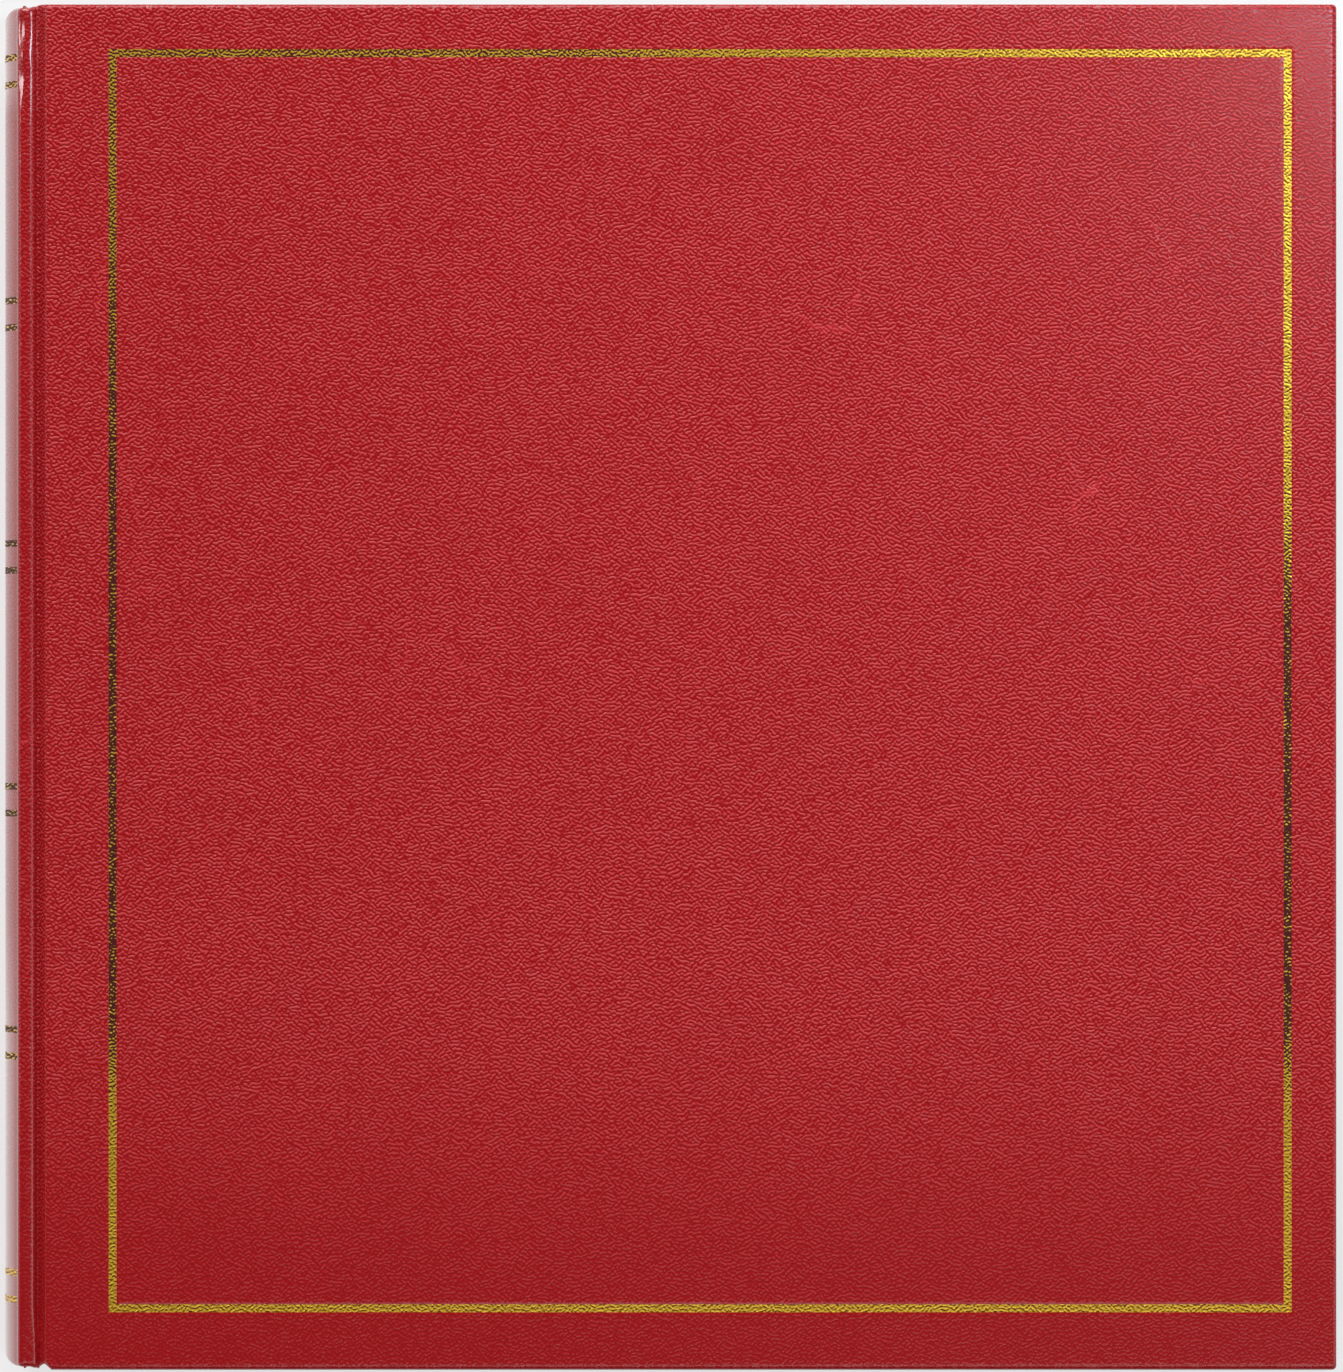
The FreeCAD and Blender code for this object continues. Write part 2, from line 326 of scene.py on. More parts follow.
def makeGoldFoil():
    material, wire = startMaterial("gold foil")
    spot = objectPlace(wire)
    ridges = grainHeight(wire, spot, foil["pitch"])
    crumbs = cloud(wire, spot, foil["crumbs"], detail=1.5)
    limit = varied(foil["gapBelow"], sideShadeShare(wire, spot))
    height = ridges * (1 - foil["crumbShare"]) + crumbs * foil["crumbShare"]
    # painted shade: the gaps of the foil are coloured near-black, far darker than the leatherette under them, and
    # they widen along the sides
    worn = 1 - easeWire(wire, limit, limit + foil["gapEdge"], height)
    # painted shade: the foil is darker in the grain's hollows and full colour on its ridges
    gold = mixColours(wire, easeWire(wire, *foil["bright"], ridges), foil["shade"], foil["colour"])
    endMaterial(wire, {
        "Base Color": mixColours(wire, worn, gold, foil["bare"]),
        "Metallic": foil["metal"] * (1 - worn),
        "Roughness": varied(foil["roughness"], worn),
        "Normal": bumpFrom(wire, ridges + crumbs * foil["crumbRelief"], foil["depth"]),
        "IOR": foil["refraction"],
    })
    return material


# Card and paper

cards = {
    "greyboard": {
        "name": "grey board", "fibres": 500.0, "roughness": 0.8,
        "dark": (0.16, 0.15, 0.135, 1.0), "light": (0.40, 0.38, 0.34, 1.0),
    },
    "endpaper": {
        "name": "cream endpaper", "fibres": 420.0, "roughness": 0.72,
        "dark": (0.66, 0.61, 0.50, 1.0), "light": (0.82, 0.78, 0.68, 1.0),
    },
    "leaf_card": {
        "name": "black leaf card", "fibres": 700.0, "roughness": 0.62,
        "dark": (0.006, 0.006, 0.0065, 1.0), "light": (0.022, 0.022, 0.023, 1.0),
    },
    "spine_card": {
        "name": "brown spine card", "fibres": 450.0, "roughness": 0.8,
        "dark": (0.26, 0.20, 0.13, 1.0), "light": (0.46, 0.38, 0.27, 1.0),
    },
}
cardFibres = {
    "stretch": 0.35, "fleckScale": 0.12, "fleckShare": 0.3,      # scale as a share of the fibres'
    "contrast": (0.25, 0.75), "dullness": 0.12, "depth": 0.04 * mm,
}


def makeCard(card):
    material, wire = startMaterial(card["name"])
    spot = objectPlace(wire)
    drawn = stretched(wire, spot, 1.0, cardFibres["stretch"])
    fibres = cloud(wire, drawn, card["fibres"], detail=4.0, rough=0.65)
    flecks = cloud(wire, spot, card["fibres"] * cardFibres["fleckScale"], detail=3.0)
    mixed = fibres * (1 - cardFibres["fleckShare"]) + flecks * cardFibres["fleckShare"]
    share = easeWire(wire, *cardFibres["contrast"], mixed)
    endMaterial(wire, {
        "Base Color": mixColours(wire, share, card["dark"], card["light"]),
        "Roughness": varied((card["roughness"], cardFibres["dullness"]), fibres),
        "Normal": bumpFrom(wire, fibres, cardFibres["depth"]),
    })
    return material


# Cloth in plain weave

cloths = {
    "linen": {
        "name": "hinge linen", "thread": 0.45 * mm, "roughness": 0.75,
        "dark": (0.005, 0.005, 0.0055, 1.0), "light": (0.032, 0.032, 0.034, 1.0),
    },
    "spine_lining": {
        "name": "lining gauze", "thread": 0.9 * mm, "roughness": 0.85,
        "dark": (0.42, 0.38, 0.30, 1.0), "light": (0.80, 0.76, 0.66, 1.0),
    },
}
plainWeave = {"threads": 0.6, "crossings": 0.3, "slubs": 0.2, "slubScale": 600.0, "depth": 0.06 * mm}


def makeCloth(cloth):
    material, wire = startMaterial(cloth["name"])
    spot = objectPlace(wire)
    turn = math.pi / cloth["thread"]
    weft = wire.maths("SINE", axisOf(wire, spot, "X") * turn)
    warp = wire.maths("SINE", axisOf(wire, spot, "Y") * turn)
    threads = wire.maths("ABSOLUTE", weft) * 0.5 + wire.maths("ABSOLUTE", warp) * 0.5
    crossings = weft * warp * 0.5 + 0.5
    slubs = cloud(wire, spot, plainWeave["slubScale"]) * plainWeave["slubs"]
    share = threads * plainWeave["threads"] + crossings * plainWeave["crossings"] + slubs
    endMaterial(wire, {
        "Base Color": mixColours(wire, share, cloth["dark"], cloth["light"]),
        "Roughness": cloth["roughness"],
        "Normal": bumpFrom(wire, threads + crossings, plainWeave["depth"]),
    })
    return material


# Film of the pockets, glassine and headband thread

clearFilm = {
    "colour": (0.86, 0.89, 0.92, 1.0), "stretch": 0.25, "ripples": 90.0,
    "roughness": (0.10, 0.10), "alpha": (0.13, 0.10), "depth": 0.25 * mm,
}


def makeFilm():
    material, wire = startMaterial("clear film")
    spot = objectPlace(wire)
    ripple = cloud(wire, stretched(wire, spot, clearFilm["stretch"], 1.0), clearFilm["ripples"])
    endMaterial(wire, {
        "Base Color": clearFilm["colour"],
        "Roughness": varied(clearFilm["roughness"], ripple),
        "Alpha": varied(clearFilm["alpha"], ripple),
        "Normal": bumpFrom(wire, ripple, clearFilm["depth"]),
    })
    return material


glassine = {
    "dark": (0.66, 0.66, 0.61, 1.0), "light": (0.86, 0.86, 0.82, 1.0), "stretch": 0.4, "fibres": 260.0,
    "roughness": (0.30, 0.12), "alpha": (0.55, 0.25), "depth": 0.05 * mm,
}


def makeGlassine():
    material, wire = startMaterial("glassine sheet")
    spot = objectPlace(wire)
    drawn = stretched(wire, spot, glassine["stretch"], 1.0)
    fibres = cloud(wire, drawn, glassine["fibres"], detail=4.0, rough=0.7)
    endMaterial(wire, {
        "Base Color": mixColours(wire, fibres, glassine["dark"], glassine["light"]),
        "Roughness": varied(glassine["roughness"], fibres),
        "Alpha": varied(glassine["alpha"], fibres),
        "Normal": bumpFrom(wire, fibres, glassine["depth"]),
    })
    return material


thread = {
    "red": (0.36, 0.012, 0.014, 1.0), "cream": (0.74, 0.66, 0.49, 1.0),
    "stripe": 2.3 * mm, "stripeEdge": (-0.08, 0.08), "stretch": 0.3, "strands": 2600.0,
    "roughness": (0.55, 0.2), "depth": 0.05 * mm,
}


def makeThread():
    material, wire = startMaterial("headband thread")
    spot = objectPlace(wire)
    band = wire.maths("SINE", axisOf(wire, spot, "Z") * (math.pi / thread["stripe"]))
    stripe = easeWire(wire, *thread["stripeEdge"], band)
    strands = cloud(wire, stretched(wire, spot, 1.0, 1.0, thread["stretch"]), thread["strands"])
    endMaterial(wire, {
        "Base Color": mixColours(wire, stripe, thread["red"], thread["cream"]),
        "Roughness": varied(thread["roughness"], strands),
        "Normal": bumpFrom(wire, strands, thread["depth"]),
    })
    return material


finishes = {
    "leatherette": makeLeatherette(),
    "gold_foil": makeGoldFoil(),
    "clear_film": makeFilm(),
    "glassine": makeGlassine(),
    "headband_thread": makeThread(),
}
for slot, card in cards.items():
    finishes[slot] = makeCard(card)
for slot, cloth in cloths.items():
    finishes[slot] = makeCloth(cloth)


def setFinish(mesh, finish):
    mesh.materials.clear()
    mesh.materials.append(finishes[finish])


for part in frame["record"]["subparts"]:
    setFinish(frame["nodes"][part["node"]].data, part["material_slot"])
print("finishes:", len(finishes))


def addPiece(name, mesh, finish):
    piece = bpy.data.objects.new(name, mesh)
    scene.collection.objects.link(piece)
    setFinish(mesh, finish)
    return piece


def meshFrom(name, build):
    mesh = bpy.data.meshes.new(name)
    build.to_mesh(mesh)
    build.free()
    mesh.shade_smooth()
    mesh.set_sharp_from_angle(angle=smoothAngle)
    return mesh


def applyModifiers(piece):
    graph = bpy.context.evaluated_depsgraph_get()
    mesh = bpy.data.meshes.new_from_object(piece.evaluated_get(graph))
    piece.modifiers.clear()
    before = piece.data
    piece.data = mesh
    bpy.data.meshes.remove(before)
    return mesh


def thicken(piece, thickness):           # adds a wall on the inner side of a sheet
    modifier = piece.modifiers.new("wall", "SOLIDIFY")
    modifier.thickness = thickness
    modifier.offset = -1.0
    applyModifiers(piece).set_sharp_from_angle(angle=wallAngle)


# Leatherette: one sheet over front cover, joint and spine, and one over joint and back cover

leather = {                              # zones are places from the hinge line towards the fore-edge
    "thickness": 0.45 * mm,
    "edgeRoll": 1.0 * mm,                # over the outer edges of a cover
    "footRoll": 0.45 * mm,               # where it turns in under the board
    "footShare": 0.45,                   # of the depth at most
    "turnIn": 15 * mm,
    "coverDepth": 3.5 * mm,              # board and both layers of the sheet
    "coverZone": (0.3 * mm, 2.4 * mm),
    "grooveDepth": 1.0 * mm,
    "spineDepth": 1.9 * mm,
    "spineZone": (-0.4 * mm, -1.8 * mm),
    "ridgeRadius": 2.2 * mm,
    "shoulder": 0.42 * mm,               # squares the outer corner of each ridge
    "shoulderAt": 130,
    "shoulderReach": 47,
    "valleyRadius": 0.3 * mm,
    "valleyDrop": 2.2 * mm,              # joint groove below the cover
    "slopeZone": (-0.2 * mm, 1.85 * mm),
    "lengthZone": (-1.6 * mm, 0.3 * mm),  # from the spine's length to the cover's
    "spineEndRadius": 2.6 * mm,          # rounded spine ends seen from above
    "spineEndDrop": 1.5 * mm,
    "notch": 1.3 * mm,                   # pulled-up edge of the joint at the tail
    "notchAt": 1.2 * mm,
    "notchReach": 1.7 * mm,
    "recess": 0.08 * mm,                 # gold line pressed into the cover
    "recessEdge": 0.25 * mm,
    "bendZone": (-0.5 * mm, 0.9 * mm),   # zone about the hinge line where a cover opens; only computed here, nothing bends
}
marks = {                                # of use; zones are from the edge of head or tail
    "headZone": (-27 * mm, -20 * mm),
    "headEdge": (0, -4 * mm),
    "tailZone": (-16 * mm, -3 * mm),
    "ridgeReach": 2.4 * mm,
    "dentScale": (260, 150),
    "dentSeed": 3.0,
    "dent": (0.10, 0.20),                # in mm
    "flatAt": 120,                       # the front ridge is worn flat at the head
    "flatReach": 1.0,
    "flatRadius": 2.05 * mm,
    "flatShare": (0.8, 0.8),
    "grooveAt": -0.3 * mm,               # the groove is pulled up and creased at the tail
    "grooveReach": 1.8 * mm,
    "grooveLift": 0.5,                   # in mm
    "crease": 0.09,                      # in mm
    "creasePitch": 2.2 * mm,
    "creaseSlant": 0.8,
}
sheetMesh = {
    "step": 7 * mm,                      # columns and rows on the flat of a cover
    "flatMargins": (1.0 * mm, 1.2 * mm),  # at the joint and at the fore-edge
    "rimStep": 0.5 * mm,
    "tailRows": (12 * mm, 0.75 * mm),    # closer rows: how far, and their step
    "headRows": (26 * mm, 0.8 * mm),
    "rowMargin": 2 * mm,
    "columnClear": 0.6 * mm,             # kept free beside the pressed line
    "rowClear": 0.4 * mm,
    "least": 0.05 * mm,
    "slopeSteps": 14,
    "valleySteps": 4,
    "ridgeSteps": 22,
    "backSteps": 28,
    "rollSteps": 4,
    "cornerSteps": 5,
}
frameLine = 1.8 * mm
frameCentre = (foilLow + foilHigh) / 2
frameHalf = (foilHigh - foilLow) / 2 - Vector((frameLine / 2, frameLine / 2, 0))
up = Vector((0, 0, 1))
roll = leather["edgeRoll"]

# The spine's section: two ridges and a wide arc that touches both
ridgeRadius = leather["ridgeRadius"]
ridgeX = spineHigh.x - ridgeRadius
ridgeZ = spineHigh.z - ridgeRadius
across = ridgeX - spineOut
rise = ridgeZ - middle
wideRadius = (across ** 2 + rise ** 2 - ridgeRadius ** 2) / (2 * (across - ridgeRadius))
lean = math.degrees(math.atan2(rise, wideRadius - across))


def fromFrame(x, y):                     # distance to the middle of the gold line
    return abs(max(abs(x - frameCentre.x) - frameHalf.x, abs(y - frameCentre.y) - frameHalf.y))


def spread(low, high, step):             # even places from low to high, both included
    count = max(1, round((high - low) / step))
    return [low + (high - low) * n / count for n in range(count + 1)]


def besideLine(middleAt):                # places that draw the pressed line's edges
    half = frameLine / 2
    edge = half + leather["recessEdge"]
    steps = (half * 0.5, half, edge, edge + sheetMesh["rimStep"])
    return [middleAt + side * away for side in (-1, 1) for away in steps]


def withLines(places, centre, half, clear):      # places, cleared for both pressed lines
    lines = besideLine(centre - half) + besideLine(centre + half)
    return [place for place in places if min(abs(place - line) for line in lines) > clear] + lines


def withoutCrowding(places):             # sorted, and none too close to the next
    kept = []
    for place in sorted(places):
        if not kept or place - kept[-1] > sheetMesh["least"]:
            kept.append(place)
    return kept


def onArc(centre, radius, degrees):
    turn = math.radians(degrees)
    return centre[0] + radius * math.cos(turn), centre[1] + radius * math.sin(turn)


def jointSection():                      # from the flat of the cover down into the groove and to the ridge
    low = top - leather["valleyDrop"]
    radius = leather["valleyRadius"]
    drop = low + radius - ridgeZ
    reach = ridgeRadius + radius
    lift = math.degrees(math.asin(drop / reach))
    valleyX = ridgeX + math.sqrt(reach ** 2 - drop ** 2)
    slopeLow, slopeHigh = zoneFrom(hingeX, leather["slopeZone"])
    section = []
    for n in range(sheetMesh["slopeSteps"] + 1):
        x = slopeHigh + (slopeLow - slopeHigh) * n / sheetMesh["slopeSteps"]
        section.append((x, low + (top - low) * ease(slopeLow, slopeHigh, x)))
    for n in range(sheetMesh["valleySteps"] + 1):
        turn = 270 + (lift - 90) * n / sheetMesh["valleySteps"]
        section.append(onArc((valleyX, low + radius), radius, turn))
    return section, lift


def coverSection():                      # flat of the front cover, from the fore-edge towards the joint
    joint, lift = jointSection()
    edge = foreEdge - roll
    atJoint, atEdge = sheetMesh["flatMargins"]
    inner = spread(joint[0][0] + atJoint, edge - atEdge, sheetMesh["step"])
    flat = withLines(inner, frameCentre.x, frameHalf.x, sheetMesh["columnClear"])
    flat = withoutCrowding(flat + [edge, edge - sheetMesh["rimStep"]])
    return [(x, top) for x in reversed(flat)] + joint, lift


def squared(turn):                       # what the shoulder adds to a ridge's radius
    return leather["shoulder"] * bump(leather["shoulderAt"], leather["shoulderReach"], turn)


def spineSection(lift):                  # front ridge, round spine and back ridge
    upper = []
    for n in range(1, sheetMesh["ridgeSteps"] + 1):
        turn = lift + (180 - lean - lift) * n / sheetMesh["ridgeSteps"]
        upper.append(onArc((ridgeX, ridgeZ), ridgeRadius + squared(turn), turn))
    for n in range(1, sheetMesh["backSteps"] + 1):
        turn = lean * (1 - n / sheetMesh["backSteps"])
        along = 180 - lean + math.degrees(math.radians(lean - turn) * wideRadius / ridgeRadius)
        upper.append(onArc((spineOut + wideRadius, middle), wideRadius + squared(along), 180 - turn))
    lower = [(x, top - z) for x, z in reversed(upper[:-1])]
    return upper + lower + [onArc((ridgeX, top - ridgeZ), ridgeRadius, 360 - lift)]


def sheetRows():
    high = coverHalf - roll
    tailReach, tailStep = sheetMesh["tailRows"]
    headReach, headStep = sheetMesh["headRows"]
    margin = sheetMesh["rowMargin"]
    rows = spread(-high + tailReach + margin, high - headReach - margin, sheetMesh["step"])
    rows += [away - high for away in spread(0, tailReach, tailStep)]
    rows += [high - away for away in spread(0, headReach, headStep)]
    return withoutCrowding(withLines(rows, frameCentre.y, frameHalf.y, sheetMesh["rowClear"]))


def sheetEnds(x, notched):               # half lengths to tail and head at a place across the album
    spineHalf = spineHigh.y
    half = spineHalf + (coverHalf - spineHalf) * ease(*zoneFrom(hingeX, leather["lengthZone"]), x)
    into = leather["spineEndRadius"] - (x - spineOut)
    if into > 0:
        half -= leather["spineEndDrop"] * (into / leather["spineEndRadius"]) ** 2
    tail = half
    if notched:
        tail -= leather["notch"] * bump(hingeX + leather["notchAt"], leather["notchReach"], x)
    return tail, half


def sheetDepth(x):                       # thickness of what the sheet is folded over
    groove = leather["grooveDepth"]
    onCover = ease(*zoneFrom(hingeX, leather["coverZone"]), x)
    onSpine = ease(*zoneFrom(hingeX, leather["spineZone"]), x)
    return groove + (leather["coverDepth"] - groove) * onCover + (leather["spineDepth"] - groove) * onSpine


def settled(x, y, z, frontSide):         # dents, pulls and the pressed line, as a change of height
    shift = 0.0
    if frontSide:
        away = fromFrame(x, y) - frameLine / 2
        shift -= leather["recess"] * (1 - ease(0, leather["recessEdge"], away))
    if z < middle:
        return shift
    onRidge = bump(ridgeX, marks["ridgeReach"], x)
    nearHead = ease(*zoneFrom(coverHalf, marks["headZone"]), y)
    nearHead *= ease(*zoneFrom(coverHalf, marks["headEdge"]), y)
    nearTail = ease(*zoneFrom(coverHalf, marks["tailZone"]), -y)
    scaleX, scaleY = marks["dentScale"]
    dents = noise.noise(Vector((x * scaleX, y * scaleY, marks["dentSeed"])))
    shift -= onRidge * nearHead * varied(marks["dent"], dents) * mm
    turn = math.atan2(z - ridgeZ, x - ridgeX) - math.radians(marks["flatAt"])
    if abs(turn) < marks["flatReach"]:
        worn = max(0.0, math.hypot(x - ridgeX, z - ridgeZ) - marks["flatRadius"] / math.cos(turn))
        shift -= worn * nearHead * clamp01(varied(marks["flatShare"], dents))
    inGroove = bump(hingeX + marks["grooveAt"], marks["grooveReach"], x)
    creases = math.sin((y * marks["creaseSlant"] + x) * 2 * math.pi / marks["creasePitch"]) - 1
    lift = inGroove * marks["grooveLift"] + max(onRidge, inGroove) * marks["crease"] * creases
    return shift + nearTail * lift * mm


def wrapSheet(name, cover, spine, frontSide):
    build = bmesh.new()
    grainAt = build.verts.layers.float_vector.new("grain")
    section = cover + spine
    rows = sheetRows()
    high = coverHalf - roll
    columns = []
    length = 0.0
    for n, (x, z) in enumerate(section):
        before = section[max(0, n - 1)]
        after = section[min(len(section) - 1, n + 1)]
        away = Vector((after[0] - before[0], 0, after[1] - before[1])).normalized()
        normal = Vector((away.z, 0, -away.x))
        length += math.hypot(x - before[0], z - before[1])
        depth = sheetDepth(x)
        bend = min(roll, depth / 2)
        tail, head = sheetEnds(x, frontSide)
        verts = []
        for y in rows:
            reach = (head if y > 0 else tail) - bend
            spot = Vector((x, y * reach / high, z))
            vert = build.verts.new(spot + normal * settled(spot.x, spot.y, z, frontSide))
            vert[grainAt] = (-length, vert.co.y, 0)
            verts.append(vert)
        outward = up if n < len(cover) else normal       # the edges of a cover fold straight down
        columns.append({"verts": verts, "normal": outward, "bend": bend, "depth": depth, "x": x})
    for left, right in zip(columns, columns[1:]):
        for a, b, c, d in zip(left["verts"], left["verts"][1:], right["verts"][1:], right["verts"]):
            build.faces.new((a, b, c, d))
    foldEdges(build, columns, grainAt)
    return meshFrom(name, build)


def sheetRim(columns):                   # vertex, way out, column and reach of the turn-in, all the way round
    fore = columns[0]
    steps = sheetMesh["cornerSteps"]
    tail = fore["verts"][0].co.y
    head = fore["verts"][-1].co.y

    def alongColumn(column, end, way):
        reach = min(leather["turnIn"], fore["x"] - column["x"] + column["bend"])
        return column["verts"][end], Vector((0, way, 0)), column, reach

    def atCorner(end, way, n):
        turn = math.pi / 2 * n / steps
        return fore["verts"][end], Vector((math.sin(turn), way * math.cos(turn), 0)), fore, fore["bend"]

    def atFore(vert):
        fromCorner = min(vert.co.y - tail, head - vert.co.y)
        return vert, Vector((1, 0, 0)), fore, min(leather["turnIn"], fromCorner + fore["bend"])

    rim = [alongColumn(column, 0, -1) for column in reversed(columns)]
    rim += [atCorner(0, -1, n) for n in range(1, steps)]
    rim += [atFore(vert) for vert in fore["verts"]]
    rim += [atCorner(-1, 1, n) for n in range(steps - 1, 0, -1)]
    rim += [alongColumn(column, -1, 1) for column in columns]
    return rim


def foldSteps(bend, depth, reach):       # out and down, over the edge and in under the board
    foot = min(leather["footRoll"], leather["footShare"] * depth)
    steps = []
    for n in range(1, sheetMesh["rollSteps"] + 1):
        turn = math.pi / 2 * n / sheetMesh["rollSteps"]
        steps.append((bend * math.sin(turn), bend * (1 - math.cos(turn))))
    for turn in (0, math.pi / 4, math.pi / 2):
        steps.append((bend - foot * (1 - math.cos(turn)), depth - foot + foot * math.sin(turn)))
    return steps + [(bend - reach, depth)]


def foldEdges(build, columns, grainAt):
    # the sheet goes on over tail, fore-edge and head, and is turned in under the board
    knots = {}                           # at the corners, ladders of one vertex end in one place
    ladders = []
    for vert, way, column, reach in sheetRim(columns):
        steps = foldSteps(column["bend"], column["depth"], reach)
        ladder = [vert]
        run = 0.0
        last = (0.0, 0.0)
        for step in steps:
            run += math.hypot(step[0] - last[0], step[1] - last[1])
            last = step
            atKnot = reach <= column["bend"] and step == steps[-1]
            made = knots.get(vert) if atKnot else None
            if made is None:
                made = build.verts.new(vert.co + way * step[0] - column["normal"] * step[1])
                made[grainAt] = vert[grainAt] + way * run
            if atKnot:
                knots[vert] = made
            ladder.append(made)
        ladders.append(ladder)
    for first, second in zip(ladders, ladders[1:]):
        for n in range(len(first) - 1):
            ring = []
            for vert in (first[n], first[n + 1], second[n + 1], second[n]):
                if vert not in ring:
                    ring.append(vert)
            if len(ring) > 2:
                build.faces.new(ring)


coverPart, ridgeLift = coverSection()


def makeFrontLeather():
    mesh = wrapSheet("front_leather", coverPart, spineSection(ridgeLift), True)
    return addPiece("front_and_spine_leather", mesh, "leatherette")


def makeBackLeather():                   # made as a front cover and turned over
    mesh = wrapSheet("back_leather", coverPart, [], False)
    for vert in mesh.vertices:
        vert.co.z = top - vert.co.z
    mesh.flip_normals()
    return addPiece("back_leather", mesh, "leatherette")


frontLeather = makeFrontLeather()
backLeather = makeBackLeather()
for piece in (frontLeather, backLeather):
    thicken(piece, leather["thickness"])
blendStart, blendEnd = [(x, 0, 0) for x in zoneFrom(hingeX, leather["bendZone"])]
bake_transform(frontLeather)
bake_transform(backLeather)
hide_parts("front_leatherette", "spine_leatherette")
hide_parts("back_leatherette")
print("leather:", len(frontLeather.data.polygons), "and", len(backLeather.data.polygons), "faces")


# Gold frame: a thin ring that lies in the pressed line

goldLine = {"lift": 0.02 * mm, "thickness": 0.05 * mm, "step": 4 * mm, "across": 3}


def makeGoldFrame():
    build = bmesh.new()
    surface = top - leather["recess"] + goldLine["lift"]
    loops = []
    for n in range(goldLine["across"] + 1):
        outset = frameLine * (n / goldLine["across"] - 0.5)
        halfX = frameHalf.x + outset
        halfY = frameHalf.y + outset
        corners = [(-halfX, -halfY), (halfX, -halfY), (halfX, halfY), (-halfX, halfY)]
        loop = []
        for a, b in zip(corners, corners[1:] + corners[:1]):
            count = round(2 * (frameHalf.x if a[1] == b[1] else frameHalf.y) / goldLine["step"])
            for k in range(count):
                x = frameCentre.x + a[0] + (b[0] - a[0]) * k / count
                y = frameCentre.y + a[1] + (b[1] - a[1]) * k / count
                loop.append(build.verts.new((x, y, surface)))
        loops.append(loop)
    for inner, outer in zip(loops, loops[1:]):
        for n in range(len(inner)):
            after = (n + 1) % len(inner)
            build.faces.new((inner[n], outer[n], outer[after], inner[after]))
    piece = addPiece("gold_frame_line", meshFrom("gold_frame_line", build), "gold_foil")
    thicken(piece, goldLine["thickness"])
    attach(piece, "front_cover")
    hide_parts("gold_frame")
    return piece


goldFrame = makeGoldFrame()
print("gold frame:", len(goldFrame.data.polygons), "faces")


# What repeats is grown by geometry nodes


def startTree(name, inputs):             # lists of the inputs' names by kind
    tree = bpy.data.node_groups.new(name, "GeometryNodeTree")
    for kind, labels in inputs.items():
        for label in labels:
            tree.interface.new_socket(name=label, in_out="INPUT", socket_type="NodeSocket" + kind)
    tree.interface.new_socket(name="Geometry", in_out="OUTPUT", socket_type="NodeSocketGeometry")
    source = tree.nodes.new("NodeGroupInput")
    return tree, Wire(tree), {socket.name: Wire(tree, socket) for socket in source.outputs}


def joined(wire, *parts):
    join = wire.tree.nodes.new("GeometryNodeJoinGeometry")
    for part in parts:
        wire.tree.links.new(part.socket, join.inputs[0])
    return Wire(wire.tree, join.outputs[0])


def endTree(wire, geometry, finish):
    real = wire.node("GeometryNodeRealizeInstances", inputs={"Geometry": geometry})
    dressed = wire.node("GeometryNodeSetMaterial", inputs={"Geometry": real, "Material": finishes[finish]})
    wire.node("NodeGroupOutput", inputs={"Geometry": dressed})


def growPiece(name, tree, finish, values, smooth=True):
    holder = bpy.data.objects.new(name, bpy.data.meshes.new(name))
    scene.collection.objects.link(holder)
    modifier = holder.modifiers.new("grow", "NODES")
    modifier.node_group = tree
    for socket in tree.interface.items_tree:
        if socket.in_out == "INPUT":
            modifier[socket.identifier] = values[socket.name]
    mesh = applyModifiers(holder)
    mesh.name = name
    setFinish(mesh, finish)
    mesh.polygons.foreach_set("material_index", [0] * len(mesh.polygons))
    if smooth:
        mesh.shade_smooth()
        mesh.set_sharp_from_angle(angle=smoothAngle)
    return holder


def vector(wire, x=0.0, y=0.0, z=0.0):
    return wire.node("ShaderNodeCombineXYZ", inputs={"X": x, "Y": y, "Z": z})


def moved(wire, geometry, place, turn=(0, 0, 0)):
    inputs = {"Geometry": geometry, "Translation": place, "Rotation": turn}
    return wire.node("GeometryNodeTransform", inputs=inputs)


def swept(wire, curve, profile):         # a closed band along a curve
    inputs = {"Curve": curve, "Profile Curve": profile, "Fill Caps": True}
    return wire.node("GeometryNodeCurveToMesh", inputs=inputs)


def rowOf(wire, count, first, pitch):    # points up the album
    inputs = {"Count": count, "Start Location": first, "Offset": vector(wire, y=pitch)}
    return wire.node("GeometryNodeMeshLine", inputs=inputs)


def copiedTo(wire, points, instance):
    return wire.node("GeometryNodeInstanceOnPoints", inputs={"Points": points, "Instance": instance})


# Gold rules across the spine, in pairs

rules = {
    "pairs": 6, "spacing": 6.1 * mm, "width": 1.5 * mm, "proud": 0.03 * mm, "thickness": 0.08 * mm,
    "bowSteps": 40,
}


def spineRuleTree():
    tree, wire, given = startTree("spine rules", {
        "Int": ["Pairs"],
        "Float": ["Pitch", "Spacing", "Width", "Thickness", "Radius", "Start", "Sweep"],
        "Vector": ["First"],
    })
    bow = wire.node("GeometryNodeCurveArc", inputs={
        "Resolution": rules["bowSteps"], "Radius": given["Radius"],
        "Start Angle": given["Start"], "Sweep Angle": given["Sweep"],
    })
    section = wire.node("GeometryNodeCurvePrimitiveQuadrilateral", inputs={
        "Width": given["Thickness"], "Height": given["Width"],
    })
    upright = moved(wire, swept(wire, bow, section), (0, 0, 0), (math.pi / 2, 0, 0))
    pair = joined(wire, moved(wire, upright, vector(wire, y=given["Spacing"] * 0.5)),
                  moved(wire, upright, vector(wire, y=given["Spacing"] * -0.5)))
    line = rowOf(wire, given["Pairs"], given["First"], given["Pitch"])
    endTree(wire, copiedTo(wire, line, pair), "gold_foil")
    return tree


